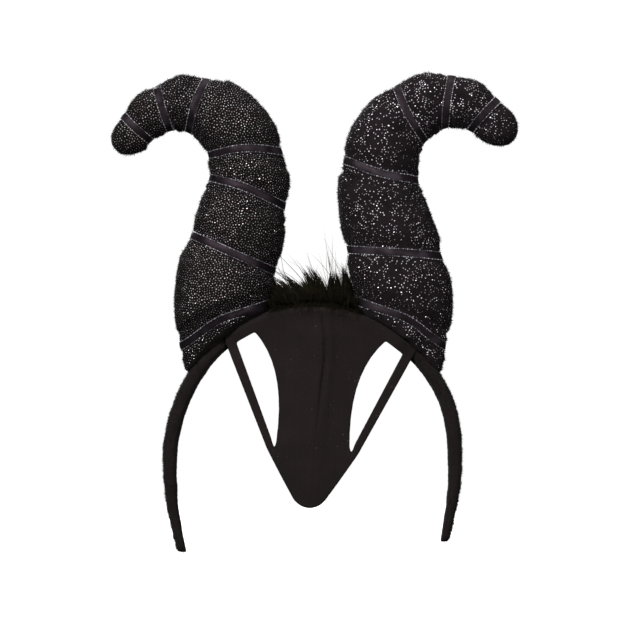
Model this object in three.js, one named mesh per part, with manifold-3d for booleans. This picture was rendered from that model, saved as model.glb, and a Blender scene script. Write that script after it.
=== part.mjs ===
// A costume headband: a plush-covered hoop that carries two stuffed horns bound with ribbon, a fabric
// brow panel held by two straps, and a short feather trim on the crown between the horns.
// Sizes are millimetres and angles are degrees. The origin is the inner crown of the hoop, +Z is up,
// the front faces -Y, and +X is the right-hand side of the front view.
import * as THREE from 'three';
import { mergeVertices } from 'three/addons/utils/BufferGeometryUtils.js';
import Module from 'manifold-3d';

const { degToRad, lerp, smoothstep } = THREE.MathUtils;

// Clearance between pieces that touch on the real headband.
const GAP = 0.3;

// The hoop is a half circle that runs on into two legs, which close in and get thinner.
const HOOP = {
  innerRadius: 63.5,
  thickness: 7,
  endThickness: 4,
  depth: 16,
  endDepth: 10,
  legLength: 46,
  legCloseIn: 4.5,
  squareness: 2.6,
  sides: 14,
  rings: 44,
  endRounding: 2.5,
  endFlat: 0.3,
};

// The horn's middle line starts on the hoop's. Heading is the lean from upright, positive outwards.
const HORN_SECTIONS = [
  { along: -26, heading: 10, width: 33, depth: 17 },
  { along: 0, heading: 3, width: 40, depth: 23 },
  { along: 24, heading: -9, width: 47, depth: 35 },
  { along: 50, heading: -16, width: 45, depth: 36 },
  { along: 75, heading: -7, width: 41, depth: 33.5 },
  { along: 98, heading: 22, width: 36.5, depth: 30 },
  { along: 120, heading: 64, width: 32, depth: 26.5 },
  { along: 141, heading: 106, width: 27, depth: 22.5 },
  { along: 160, heading: 144, width: 22, depth: 18.5 },
  { along: 174, heading: 172, width: 17, depth: 14.5 },
];
const HORN = {
  sides: 20,
  backwardLean: 0.07,
  spineStep: 0.5,
  plainSpacing: 8,
  closestRings: 1,
  noseLength: 8,
  noseFlat: 0.2,
  noseRings: [1, 0.6, 0.3, 0.1, 0],
  seatSides: 96,
  seatReach: 64,
};

// Each wrap is a ribbon tied round the horn. A positive tilt puts its outer side nearer the tip.
const HORNS = [
  {
    name: 'left',
    side: -1,
    seatAngle: 42,
    curl: 1,
    wraps: [
      { along: 12.5, tilt: -30 },
      { along: 45, tilt: 8 },
      { along: 76, tilt: 15 },
      { along: 95, tilt: 14 },
      { along: 128, tilt: 8 },
      { along: 144, tilt: 5 },
      { along: 160, tilt: 7 },
    ],
  },
  {
    name: 'right',
    side: 1,
    seatAngle: 43,
    curl: 0.94,
    wraps: [
      { along: 14, tilt: -31 },
      { along: 46, tilt: -18 },
      { along: 84, tilt: -13 },
      { along: 116, tilt: -10 },
      { along: 136, tilt: -7 },
      { along: 155, tilt: -6 },
    ],
  },
];
const RIBBON = { width: 4.2, thickness: 0.8, groove: 1.2, grooveMargin: 0.4, shoulder: 5 };

// The brow panel is symmetrical about its crease and is glued on a little off the hoop's middle.
// Distances across are from the crease and heights are from the hoop's inner crown.
const PANEL = {
  thickness: 2,
  turn: 4,
  rimRadius: 69.3,
  windowRadius: 63.3,
  strapOuterAngle: 41,
  windowOuterAngle: 38,
  windowInnerAngle: 29,
  strapEnd: { across: 21.4, height: -61.6 },
  windowFoot: { across: 18, height: -58.5, radius: 0.8 },
  tongueWaist: { across: 14.5, height: -24 },
  noseCentreHeight: -79,
  noseRadius: 9,
  noseStartAngle: 33,
  bulge: 9,
  bulgeOver: 80,
  creaseHeight: 3,
  creaseHalfWidth: 17,
  creaseStart: 0.4,
  creaseGrowth: 18,
  gridAcross: 32,
  gridDown: 26,
  curveSegments: 9,
  finestEdge: 0.05,
  punchReach: 60,
};

// The feather trim is a strip on the crown with locks that lean to the left of the front view.
const TRIM = {
  fromAngle: -12.5,
  toAngle: 14.5,
  thickness: 5,
  depth: 11,
  rings: 10,
  stripSides: 8,
  endMargin: 2,
  lockCount: 26,
  lockSides: 5,
  lockRings: 4,
  shortest: 11,
  longest: 21,
  endLocksShare: 0.59,
  lockRadius: 2.4,
  tipRadius: 0.25,
  rootSink: 3.4,
  leanLeft: 0.45,
  curlLeft: 0.5,
  leftmostFreedom: 0.05,
  spread: 0.45,
  taper: 1.6,
};

const ARCH_CENTRE_HEIGHT = -HOOP.innerRadius;
const ARCH_OUTER_RADIUS = HOOP.innerRadius + HOOP.thickness;
const ARCH_MID_RADIUS = HOOP.innerRadius + HOOP.thickness / 2;
const SEAT_RADIUS = ARCH_OUTER_RADIUS + GAP;
const HORN_START = HORN_SECTIONS[0].along;
const HORN_LENGTH = HORN_SECTIONS.at(-1).along;

const wasm = await Module();
wasm.setup();

// Joins and cuts

function toSolid(geometry) {
  geometry.deleteAttribute('normal');
  geometry.deleteAttribute('uv');
  const merged = mergeVertices(geometry);
  const vertProperties = new Float32Array(merged.attributes.position.array);
  const triVerts = new Uint32Array(merged.index.array);
  return new wasm.Manifold(new wasm.Mesh({ numProp: 3, vertProperties, triVerts }));
}

function toGeometry(solid) {
  const { vertProperties, triVerts } = solid.getMesh();
  const geometry = new THREE.BufferGeometry();
  geometry.setAttribute('position', new THREE.BufferAttribute(vertProperties, 3));
  geometry.setIndex(new THREE.BufferAttribute(triVerts, 1));
  return geometry;
}

// Curves and skins

// Smooth curves through a table: every column after the first becomes a function of the first.
function curvesThrough(rows) {
  const [key, ...columns] = Object.keys(rows[0]);
  const places = rows.map((row) => row[key]);
  const values = rows.flatMap((row) => columns.map((name) => row[name]));
  const interpolant = new THREE.CubicInterpolant(places, values, columns.length);
  return (place) => {
    const result = interpolant.evaluate(place);
    return Object.fromEntries(columns.map((name, index) => [name, result[index]]));
  };
}

// How much of its full section a piece keeps at a distance from its end, for a rounded end.
function roundedEnd(distance, length) {
  const rest = Math.max(0, 1 - distance / length);
  return Math.sqrt(1 - rest * rest);
}

// One coordinate of a section between an ellipse (squareness 2) and a rectangle.
function squared(value, squareness) {
  return Math.sign(value) * Math.abs(value) ** (2 / squareness);
}

function range(count, make) {
  return Array.from({ length: count }, (unused, index) => make(index));
}

// One result for each corner of a section, from the corner's turn round it.
function around(sides, make) {
  return range(sides, (corner) => make((2 * Math.PI * corner) / sides));
}

// A closed skin over rings of points. A loop joins its last ring to the first; otherwise each end is
// closed by a fan round the middle of its ring.
function skin(rings, loop = false) {
  const count = rings[0].length;
  const points = rings.flat();
  const triangles = [];
  const bands = loop ? rings.length : rings.length - 1;
  for (let ring = 0; ring < bands; ring += 1) {
    const here = ring * count;
    const next = ((ring + 1) % rings.length) * count;
    for (let corner = 0; corner < count; corner += 1) {
      const turn = (corner + 1) % count;
      triangles.push([here + corner, here + turn, next + turn], [here + corner, next + turn, next + corner]);
    }
  }
  if (!loop) {
    const last = (rings.length - 1) * count;
    for (const [start, reverse] of [[0, true], [last, false]]) {
      const middle = new THREE.Vector3();
      for (let corner = 0; corner < count; corner += 1) {
        middle.addScaledVector(points[start + corner], 1 / count);
      }
      points.push(middle);
      for (let corner = 0; corner < count; corner += 1) {
        const edge = [start + corner, start + ((corner + 1) % count)];
        triangles.push([...(reverse ? edge.reverse() : edge), points.length - 1]);
      }
    }
  }
  return new THREE.BufferGeometry().setFromPoints(points).setIndex(facingOut(points, triangles).flat());
}

// The same triangles, all turned over if the body they close would be inside out.
function facingOut(points, triangles) {
  const cross = new THREE.Vector3();
  const volume = triangles.reduce((sum, [a, b, c]) => {
    return sum + cross.crossVectors(points[b], points[c]).dot(points[a]);
  }, 0);
  return volume > 0 ? triangles : triangles.map(([a, b, c]) => [a, c, b]);
}

// Headband

const QUARTER_ARCH = (ARCH_MID_RADIUS * Math.PI) / 2;
const HALF_HOOP = QUARTER_ARCH + HOOP.legLength;

// The hoop's middle line at a distance from the crown, negative on the left, with the angle of its
// outward normal from upright and how far down the leg it is.
function hoopMidline(along) {
  const side = Math.sign(along);
  const run = Math.abs(along);
  if (run <= QUARTER_ARCH) {
    const angle = along / ARCH_MID_RADIUS;
    const x = ARCH_MID_RADIUS * Math.sin(angle);
    const z = ARCH_CENTRE_HEIGHT + ARCH_MID_RADIUS * Math.cos(angle);
    return { x, z, angle, legShare: 0 };
  }
  const legShare = (run - QUARTER_ARCH) / HOOP.legLength;
  const x = side * (ARCH_MID_RADIUS - HOOP.legCloseIn * legShare * legShare);
  const z = ARCH_CENTRE_HEIGHT - HOOP.legLength * legShare;
  const slope = (2 * HOOP.legCloseIn * legShare) / HOOP.legLength;
  return { x, z, angle: side * (Math.PI / 2 + Math.atan(slope)), legShare };
}

function hoopRing(along) {
  const { x, z, angle, legShare } = hoopMidline(along);
  const keep = Math.max(HOOP.endFlat, roundedEnd(HALF_HOOP - Math.abs(along), HOOP.endRounding));
  const halfThick = (lerp(HOOP.thickness, HOOP.endThickness, legShare) / 2) * keep;
  const halfDeep = (lerp(HOOP.depth, HOOP.endDepth, Math.abs(along) / HALF_HOOP) / 2) * keep;
  return around(HOOP.sides, (turn) => {
    const out = halfThick * squared(Math.cos(turn), HOOP.squareness);
    const back = halfDeep * squared(Math.sin(turn), HOOP.squareness);
    return new THREE.Vector3(x + out * Math.sin(angle), back, z + out * Math.cos(angle));
  });
}

function headbandGeometry() {
  const ends = [0, HOOP.endRounding / 4];
  const body = HALF_HOOP - HOOP.endRounding;
  const stations = [
    ...ends.map((inset) => inset - HALF_HOOP),
    ...range(HOOP.rings, (ring) => lerp(-body, body, ring / (HOOP.rings - 1))),
    ...ends.reverse().map((inset) => HALF_HOOP - inset),
  ];
  return skin(stations.map(hoopRing));
}

// Horns

const hornSection = curvesThrough(HORN_SECTIONS);

// The horn's middle line, summed up in small steps along its heading from the seat on the hoop.
function hornSpine({ side, seatAngle, curl }) {
  const heading = (along) => degToRad(hornSection(along).heading * curl);
  const seat = degToRad(seatAngle);
  const seatHeight = ARCH_CENTRE_HEIGHT + ARCH_MID_RADIUS * Math.cos(seat);
  const start = {
    x: side * ARCH_MID_RADIUS * Math.sin(seat) + side * HORN_START * Math.sin(heading(HORN_START)),
    z: seatHeight + HORN_START * Math.cos(heading(HORN_START)),
  };
  const steps = [start];
  for (let along = HORN_START; along < HORN_LENGTH; along += HORN.spineStep) {
    const turn = heading(along + HORN.spineStep / 2);
    const { x, z } = steps.at(-1);
    steps.push({
      x: x + side * HORN.spineStep * Math.sin(turn),
      z: z + HORN.spineStep * Math.cos(turn),
    });
  }
  return (along) => {
    const place = Math.min(Math.max((along - HORN_START) / HORN.spineStep, 0), steps.length - 1.001);
    const before = steps[Math.floor(place)];
    const after = steps[Math.floor(place) + 1];
    const x = lerp(before.x, after.x, place % 1);
    const z = lerp(before.z, after.z, place % 1);
    const y = HORN.backwardLean * (z - seatHeight);
    const turn = heading(along);
    const outward = new THREE.Vector3(side * Math.cos(turn), 0, -Math.sin(turn));
    return { centre: new THREE.Vector3(x, y, z), outward };
  };
}

// A function for the points of a horn's skin: a place along it, a turn round it and a rise off the
// fabric. Its rings tilt with the wraps, so that a wrap and the groove that it pinches are both rings.
function hornSurface(horn) {
  const spine = hornSpine(horn);
  const tiltAlong = curvesThrough([...horn.wraps, { along: HORN_LENGTH, tilt: 0 }]);
  return (along, turn, rise) => {
    const slant = Math.tan(degToRad(tiltAlong(along).tilt)) * Math.cos(turn);
    const place = Math.min(along + (slant * hornSection(along).width) / 2, HORN_LENGTH);
    const { width, depth } = hornSection(place);
    const keep = Math.max(HORN.noseFlat, roundedEnd(HORN_LENGTH - place, HORN.noseLength));
    const { centre, outward } = spine(place);
    return centre
      .addScaledVector(outward, ((width / 2) * keep + rise) * Math.cos(turn))
      .add(new THREE.Vector3(0, ((depth / 2) * keep + rise) * Math.sin(turn), 0));
  };
}

// How deep the wraps pinch the fabric at a place along the horn.
function grooveDepth(along, wraps) {
  const edge = RIBBON.width / 2 + RIBBON.grooveMargin;
  const depths = wraps.map((wrap) => {
    return RIBBON.groove * (1 - smoothstep(Math.abs(along - wrap.along), edge, edge + RIBBON.shoulder));
  });
  return Math.max(...depths);
}

// Rings at the edges and shoulders of every groove and round the nose, and between them where the
// horn is plain.
function hornStations(wraps) {
  const edge = RIBBON.width / 2 + RIBBON.grooveMargin;
  const offsets = [edge, edge + RIBBON.shoulder / 2, edge + RIBBON.shoulder];
  const shaped = [
    HORN_START,
    ...wraps.flatMap((wrap) => offsets.flatMap((offset) => [wrap.along - offset, wrap.along + offset])),
    ...HORN.noseRings.map((share) => HORN_LENGTH - HORN.noseLength * share),
  ];
  shaped.sort((a, b) => a - b);
  const stations = [shaped[0]];
  for (const place of shaped.slice(1)) {
    const from = stations.at(-1);
    const parts = Math.ceil((place - from) / HORN.plainSpacing);
    const isNose = place > HORN_LENGTH - HORN.noseLength;
    if (place - from > HORN.closestRings || (isNose && place > from)) {
      stations.push(...range(parts, (part) => lerp(from, place, (part + 1) / parts)));
    }
  }
  return stations;
}

function hornGeometry(horn) {
  const surface = hornSurface(horn);
  const rings = hornStations(horn.wraps).map((along) => {
    return around(HORN.sides, (turn) => surface(along, turn, -grooveDepth(along, horn.wraps)));
  });
  const seat = new THREE.CylinderGeometry(SEAT_RADIUS, SEAT_RADIUS, HORN.seatReach, HORN.seatSides);
  seat.translate(0, 0, ARCH_CENTRE_HEIGHT);
  return toGeometry(toSolid(skin(rings)).subtract(toSolid(seat)));
}

// A ribbon is a flat band round the horn that lies in its groove.
function ribbonGeometry(horn, wrap) {
  const surface = hornSurface(horn);
  const under = GAP - RIBBON.groove;
  const over = under + RIBBON.thickness;
  const low = wrap.along - RIBBON.width / 2;
  const high = wrap.along + RIBBON.width / 2;
  const rings = around(HORN.sides, (turn) => [
    surface(low, turn, under),
    surface(high, turn, under),
    surface(high, turn, over),
    surface(low, turn, over),
  ]);
  return skin(rings, true);
}

// Brow panel, in a frame whose origin is the centre of the arch

function onArch(radius, angle) {
  return new THREE.Vector2(radius * Math.sin(degToRad(angle)), radius * Math.cos(degToRad(angle)));
}

function panelPoint({ across, height }) {
  return new THREE.Vector2(across, height - ARCH_CENTRE_HEIGHT);
}

// The corner points of an outline, without the doubled ones where two of its curves meet.
function cornersOf(outline) {
  const points = outline.getPoints(PANEL.curveSegments);
  return points.filter((point, index) => point.distanceTo(points.at(index - 1)) > PANEL.finestEdge);
}

// The outline runs along the rim, down the left strap, round the nose and up the right strap.
function panelOutline() {
  const strapEnd = panelPoint(PANEL.strapEnd);
  const nose = panelPoint({ across: 0, height: PANEL.noseCentreHeight });
  const tangent = degToRad(PANEL.noseStartAngle);
  const noseStart = new THREE.Vector2(
    PANEL.noseRadius * Math.cos(tangent),
    nose.y - PANEL.noseRadius * Math.sin(tangent),
  );
  const cheek = (noseStart.y - strapEnd.y) / 2;
  const control = new THREE.Vector2(noseStart.x - cheek * Math.tan(tangent), noseStart.y - cheek);
  const rimStart = degToRad(90 - PANEL.strapOuterAngle);
  const outline = new THREE.Path();
  outline.absarc(0, 0, PANEL.rimRadius, rimStart, Math.PI - rimStart, false);
  outline.lineTo(-strapEnd.x, strapEnd.y);
  outline.quadraticCurveTo(-control.x, control.y, -noseStart.x, noseStart.y);
  outline.absarc(nose.x, nose.y, PANEL.noseRadius, Math.PI + tangent, 2 * Math.PI - tangent, false);
  outline.quadraticCurveTo(control.x, control.y, strapEnd.x, strapEnd.y);
  return outline;
}

// The window between the tongue and a strap: a short top edge on the rim, narrowing to a foot.
function windowOutline(side) {
  const inner = onArch(PANEL.windowRadius, PANEL.windowInnerAngle);
  const outer = onArch(PANEL.windowRadius, PANEL.windowOuterAngle);
  const foot = panelPoint(PANEL.windowFoot);
  const waist = panelPoint(PANEL.tongueWaist);
  const path = new THREE.Path();
  path.moveTo(side * inner.x, inner.y);
  path.lineTo(side * outer.x, outer.y);
  path.lineTo(side * (foot.x + PANEL.windowFoot.radius), foot.y);
  path.lineTo(side * (foot.x - PANEL.windowFoot.radius), foot.y);
  path.quadraticCurveTo(side * waist.x, waist.y, side * inner.x, inner.y);
  return path;
}

// How far the fabric stands in front of the hoop's face: it bulges as it falls away from the hoop and
// is folded to a low roof along the crease.
function panelForward(across, height) {
  const arch = Math.sqrt(Math.max(0, HOOP.innerRadius ** 2 - across ** 2));
  const drop = Math.max(0, arch - height);
  const bulge = PANEL.bulge * smoothstep(drop, 0, PANEL.bulgeOver);
  const roof = PANEL.creaseHeight * Math.max(0, 1 - Math.abs(across) / PANEL.creaseHalfWidth);
  return bulge + roof * lerp(PANEL.creaseStart, 1, smoothstep(drop, 0, PANEL.creaseGrowth));
}

// A prism of an outline, from the hoop's middle out through the front.
function punch(outline) {
  const shape = new THREE.Shape(cornersOf(outline));
  const prism = new THREE.ExtrudeGeometry(shape, { depth: PANEL.punchReach, bevelEnabled: false });
  return toSolid(prism.rotateX(Math.PI / 2));
}

function panelGeometry() {
  const size = 2 * PANEL.rimRadius;
  const sheet = new THREE.BoxGeometry(size, PANEL.thickness, size, PANEL.gridAcross, 1, PANEL.gridDown);
  const face = HOOP.depth / 2 + GAP + PANEL.thickness / 2;
  const points = sheet.attributes.position;
  for (let index = 0; index < points.count; index += 1) {
    const forward = face + panelForward(points.getX(index), points.getZ(index));
    points.setY(index, points.getY(index) - forward);
  }
  const windows = [-1, 1].map((side) => punch(windowOutline(side)));
  const blank = toSolid(sheet).intersect(punch(panelOutline()));
  return toGeometry(windows.reduce((cut, tool) => cut.subtract(tool), blank));
}

// Feather trim

// A number from 0 to 1 that looks random but is the same every time.
function scatter(index, salt) {
  const value = Math.sin(index * 12.9898 + salt * 78.233) * 43758.5453;
  return value - Math.floor(value);
}

function trimPoint(radius, angle, y) {
  const { x, y: rise } = onArch(radius, angle);
  return new THREE.Vector3(x, y, ARCH_CENTRE_HEIGHT + rise);
}

// The strip is flat below and rounded above, like the dense core of a feather trim.
function trimStrip() {
  const half = TRIM.depth / 2;
  const corners = TRIM.stripSides - 1;
  const rings = range(TRIM.rings, (ring) => {
    const angle = lerp(TRIM.fromAngle, TRIM.toAngle, ring / (TRIM.rings - 1));
    return range(TRIM.stripSides, (corner) => {
      const turn = (Math.PI * corner) / corners;
      return trimPoint(SEAT_RADIUS + TRIM.thickness * Math.sin(turn), angle, half * Math.cos(turn));
    });
  });
  return skin(rings);
}

// A feather lock: a bent, tapering bunch that grows from the strip and curls over to the left.
function featherLock(index) {
  const share = (index + 0.5) / TRIM.lockCount;
  const angle = lerp(TRIM.fromAngle + TRIM.endMargin, TRIM.toAngle - TRIM.endMargin, share);
  const offset = (scatter(index, 1) - 0.5) * (TRIM.depth - 2 * TRIM.lockRadius);
  const root = trimPoint(SEAT_RADIUS + TRIM.thickness - TRIM.rootSink, angle, offset);
  const fullness = lerp(TRIM.endLocksShare, 1, Math.sin(Math.PI * share));
  const length = lerp(TRIM.shortest, TRIM.longest, scatter(index, 2)) * fullness;
  const freedom = lerp(TRIM.leftmostFreedom, 1, share);
  const sideways = -TRIM.leanLeft * freedom * scatter(index, 3);
  const lean = new THREE.Vector3(sideways, TRIM.spread * lerp(-1, 1, scatter(index, 4)), 1).normalize();
  const across = new THREE.Vector3(0, 1, 0).cross(lean).normalize();
  const deep = lean.clone().cross(across);
  const rings = range(TRIM.lockRings, (ring) => {
    const reach = ring / (TRIM.lockRings - 1);
    const swell = lerp(TRIM.lockRadius, TRIM.tipRadius, reach ** TRIM.taper);
    const centre = root.clone().addScaledVector(lean, length * reach);
    centre.x -= TRIM.curlLeft * freedom * length * reach * reach;
    return around(TRIM.lockSides, (turn) => {
      return centre.clone()
        .addScaledVector(across, swell * Math.cos(turn))
        .addScaledVector(deep, swell * Math.sin(turn));
    });
  });
  return skin(rings);
}

function trimGeometry() {
  const locks = range(TRIM.lockCount, (index) => toSolid(featherLock(index)));
  return toGeometry(locks.reduce((body, lock) => body.add(lock), toSolid(trimStrip())));
}

// Assembly

const plush = new THREE.MeshStandardMaterial({ color: 0x181415, roughness: 0.95, metalness: 0 });
const velour = new THREE.MeshStandardMaterial({ color: 0x1b1718, roughness: 0.8, metalness: 0 });
const satin = new THREE.MeshStandardMaterial({ color: 0x2c2a2f, roughness: 0.4, metalness: 0 });
const panelFabric = new THREE.MeshStandardMaterial({ color: 0x242020, roughness: 0.85, metalness: 0 });
const feather = new THREE.MeshStandardMaterial({ color: 0x0c0b0c, roughness: 0.7, metalness: 0 });

const costumeHeadband = new THREE.Group();

function addPiece(name, geometry, material, parent = costumeHeadband) {
  geometry.computeVertexNormals();
  const piece = new THREE.Mesh(geometry, material);
  piece.name = name;
  parent.add(piece);
}

addPiece('headband', headbandGeometry(), plush);

for (const horn of HORNS) {
  addPiece(`horn_${horn.name}`, hornGeometry(horn), velour);
  horn.wraps.forEach((wrap, index) => {
    addPiece(`ribbon_${horn.name}_${index + 1}`, ribbonGeometry(horn, wrap), satin);
  });
}

const panelSeat = new THREE.Group();
panelSeat.position.z = ARCH_CENTRE_HEIGHT;
panelSeat.rotation.y = degToRad(PANEL.turn);
costumeHeadband.add(panelSeat);
addPiece('forehead_panel', panelGeometry(), panelFabric, panelSeat);

addPiece('feather_trim', trimGeometry(), feather);

export default costumeHeadband;
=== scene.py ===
"""Looks of a horned costume headband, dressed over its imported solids.

Sizes are metres, +Z is up and the front faces -Y. Left and right are the viewer's.
"""
import math

import bpy
import numpy as np
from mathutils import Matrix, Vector
from mathutils.bvhtree import BVHTree
from mathutils.kdtree import KDTree


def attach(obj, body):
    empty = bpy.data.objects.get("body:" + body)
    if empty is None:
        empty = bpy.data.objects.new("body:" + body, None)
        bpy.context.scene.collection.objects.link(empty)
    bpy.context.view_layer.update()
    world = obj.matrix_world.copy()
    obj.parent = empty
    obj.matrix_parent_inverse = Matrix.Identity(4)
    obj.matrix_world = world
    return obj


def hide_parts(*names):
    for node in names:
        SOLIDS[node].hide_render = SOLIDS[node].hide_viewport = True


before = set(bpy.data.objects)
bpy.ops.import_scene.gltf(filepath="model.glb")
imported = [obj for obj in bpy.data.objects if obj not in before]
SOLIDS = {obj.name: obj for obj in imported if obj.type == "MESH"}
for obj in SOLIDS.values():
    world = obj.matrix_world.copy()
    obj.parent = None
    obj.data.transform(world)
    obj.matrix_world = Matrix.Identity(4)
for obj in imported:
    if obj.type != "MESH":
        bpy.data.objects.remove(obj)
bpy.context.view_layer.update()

MM = 0.001
TURN = 2 * math.pi
TINY = 1e-12

# The hoop's arch, on which the other pieces sit
ARCH_CENTRE = np.array([0, 0, -63.5]) * MM
ARCH_TOP_RADIUS = 70.5 * MM


# Picking, measuring and moving one piece at a time


def pick(piece):
    """Selects one piece alone and makes it the active one."""
    bpy.ops.object.select_all(action="DESELECT")
    piece.select_set(True)
    bpy.context.view_layer.objects.active = piece


def unit(vectors):
    """The same directions, each of length 1."""
    return vectors / np.maximum(np.linalg.norm(vectors, axis=-1, keepdims=True), TINY)


def smooth_step(value, low, high):
    """0 up to low and 1 from high, with a soft rise between."""
    part = np.clip((value - low) / (high - low), 0, 1)
    return part * part * (3 - 2 * part)


def bell(distance, width):
    """1 at no distance, fading to nothing over about two widths."""
    return np.exp(-np.square(distance / width))


def points_of(piece):
    points = np.empty(len(piece.data.vertices) * 3)
    piece.data.vertices.foreach_get("co", points)
    return points.reshape(-1, 3)


def normals_of(piece):
    normals = np.empty(len(piece.data.vertices) * 3)
    piece.data.vertex_normals.foreach_get("vector", normals)
    return normals.reshape(-1, 3)


def triangles_of(piece):
    """The three corners of each of a piece's triangles, as numbers of its points."""
    piece.data.calc_loop_triangles()
    corners = np.empty(len(piece.data.loop_triangles) * 3, dtype=np.int32)
    piece.data.loop_triangles.foreach_get("vertices", corners)
    return corners.reshape(-1, 3)


def move_points(piece, points):
    piece.data.vertices.foreach_set("co", np.ascontiguousarray(points).ravel())
    piece.data.update()


def shade_smooth(piece):
    piece.data.polygons.foreach_set("use_smooth", np.full(len(piece.data.polygons), True))
    piece.data.update()


def merge_points(piece, distance):
    pick(piece)
    bpy.ops.object.mode_set(mode="EDIT")
    bpy.ops.mesh.select_all(action="SELECT")
    bpy.ops.mesh.remove_doubles(threshold=distance)
    bpy.ops.object.mode_set(mode="OBJECT")


def copy_solid(node, name):
    """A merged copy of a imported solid, to be dressed."""
    piece = bpy.data.objects.new(name, SOLIDS[node].data.copy())
    bpy.context.collection.objects.link(piece)
    piece.data.name = name
    piece.data.materials.clear()
    merge_points(piece, 0.001 * MM)
    return piece


def apply(piece, kind, **settings):
    """Adds one modifier to a piece, sets it up and applies it."""
    pick(piece)
    modifier = piece.modifiers.new(kind.title(), kind)
    for key, value in settings.items():
        setattr(modifier, key, value)
    bpy.ops.object.modifier_apply(modifier=modifier.name)


def skin_tree(piece):
    """The piece's faces, ready for finding the nearest place or where a line meets them."""
    return BVHTree.FromPolygons(
        [v.co for v in piece.data.vertices], [p.vertices for p in piece.data.polygons]
    )


def distance_to(trees, points):
    """How far each point is from the nearest of several skins."""
    return np.array([min(tree.find_nearest(Vector(p))[3] for tree in trees) for p in points])


def above_hoop(points):
    """How far points are outside the hoop's arch."""
    return np.hypot(points[:, 0], points[:, 2] - ARCH_CENTRE[2]) - ARCH_TOP_RADIUS


def run_of(line):
    """How far along a line each of its points is."""
    return np.concatenate([[0], np.cumsum(np.linalg.norm(np.diff(line, axis=0), axis=1))])


def along_line(at, run, values):
    """The values of a line's points, read at some distances along it."""
    return np.stack([np.interp(at, run, values[:, k]) for k in range(3)], 1)


def hand_over(piece, finish, slot, *nodes):
    """Gives a finished piece its material and its place on the part; its slot is not used."""
    piece.data.materials.clear()
    piece.data.materials.append(finish.material)
    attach(piece, "root")
    if nodes:
        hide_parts(*nodes)


# Many small things, each kind joined in one mesh

PILE_THICKNESS = 0.24 * MM
PILE_ROOT_DEPTH = 0.1 * MM
PILE_UNEVEN = (0.75, 1.1)
# Shares of a flake's width and of a stitch's length
FLAKE_PEAK = 0.13
STITCH_SHOULDER = 0.3
# A wave starts anywhere up to this phase, in radians
ANY_PHASE = 6.3
# Places that are evened out are pushed off this many others, by a share of what they lack
NEIGHBOURS = 6
PUSH = 0.3


def joined(name, points, faces, smooth):
    """One piece from many points and triangles."""
    mesh = bpy.data.meshes.new(name)
    mesh.vertices.add(len(points))
    mesh.vertices.foreach_set("co", np.ascontiguousarray(points, dtype=np.float32).ravel())
    mesh.loops.add(faces.size)
    mesh.loops.foreach_set("vertex_index", np.ascontiguousarray(faces, dtype=np.int32).ravel())
    mesh.polygons.add(len(faces))
    mesh.polygons.foreach_set("loop_start", np.arange(0, faces.size, 3, dtype=np.int32))
    mesh.polygons.foreach_set("use_smooth", np.full(len(faces), smooth))
    mesh.update(calc_edges=True)
    piece = bpy.data.objects.new(name, mesh)
    bpy.context.collection.objects.link(piece)
    return piece


def copies(faces, count, size):
    """The faces of one small shape, numbered on for each of its copies."""
    return (np.array(faces)[None] + size * np.arange(count)[:, None, None]).reshape(-1, 3)


def cross_frame(aim, draw):
    """Two directions square to each aim, turned at random."""
    side = unit(np.cross(aim, draw.normal(size=aim.shape)))
    return side, np.cross(aim, side)


def ring_round(side, other, corners):
    """The directions of a small ring's corners, from two directions in its plane."""
    turn = np.arange(corners) * TURN / corners
    return side[..., None, :] * np.cos(turn)[:, None] + other[..., None, :] * np.sin(turn)[:, None]


def spread(piece, count, draw):
    """Even random places on a piece's skin, with the outward direction at each."""
    corners = triangles_of(piece)
    spots, outward = points_of(piece)[corners], normals_of(piece)[corners]
    area = np.linalg.norm(np.cross(spots[:, 1] - spots[:, 0], spots[:, 2] - spots[:, 0]), axis=1)
    chosen = draw.choice(len(area), count, p=area / area.sum())
    along = np.sqrt(draw.random(count))
    across = draw.random(count)
    shares = np.stack([1 - along, along * (1 - across), along * across], 1)[:, :, None]
    return (spots[chosen] * shares).sum(1), unit((outward[chosen] * shares).sum(1))


def swells(points, sizes, draw):
    """Soft random swells of about these sizes in millimetres, from -1 to 1."""
    return sum(
        np.sin(points @ unit(draw.normal(size=3)) * TURN / (size * MM) + draw.uniform(0, ANY_PHASE))
        for size in sizes
    ) / len(sizes)


def clumped(roots, size, draw):
    """A random level for each root, from 0 to 1, which the roots of one clump share."""
    cells = np.unique(np.floor(roots / size).astype(int), axis=0, return_inverse=True)[1].ravel()
    return draw.random(cells.max() + 1)[cells]


def kept_apart(points, apart):
    """Which of the points, taken in turn, keep this distance from those taken before."""
    taken, cells = [], {}
    near = [(i, j, k) for i in (-1, 0, 1) for j in (-1, 0, 1) for k in (-1, 0, 1)]
    spots = points.tolist()
    for index, (a, b, c) in enumerate(np.floor(points / apart).astype(int).tolist()):
        x, y, z = spots[index]
        if all(
            (x - u) ** 2 + (y - v) ** 2 + (z - w) ** 2 >= apart * apart
            for i, j, k in near
            for u, v, w in cells.get((a + i, b + j, c + k), ())
        ):
            cells.setdefault((a, b, c), []).append((x, y, z))
            taken.append(index)
    return np.array(taken)


def evened(places, apart, skin, rounds):
    """Pushes near places away from each other on a skin, and gives the outward direction at each."""
    for _ in range(rounds):
        tree = KDTree(len(places))
        for index, place in enumerate(places):
            tree.insert(place, index)
        tree.balance()
        # The nearest place found is the place itself
        near = np.array([[index for _, index, _ in tree.find_n(place, NEIGHBOURS + 1)] for place in places])
        away = places[:, None] - places[near[:, 1:]]
        gap = np.maximum(np.linalg.norm(away, axis=2, keepdims=True), TINY)
        moved = places + (away / gap * np.maximum(0, apart - gap)).sum(1) * PUSH
        hits = [skin.find_nearest(Vector(place)) for place in moved]
        places = np.array([hit[0] for hit in hits])
    return places, np.array([hit[1] for hit in hits])


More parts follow.
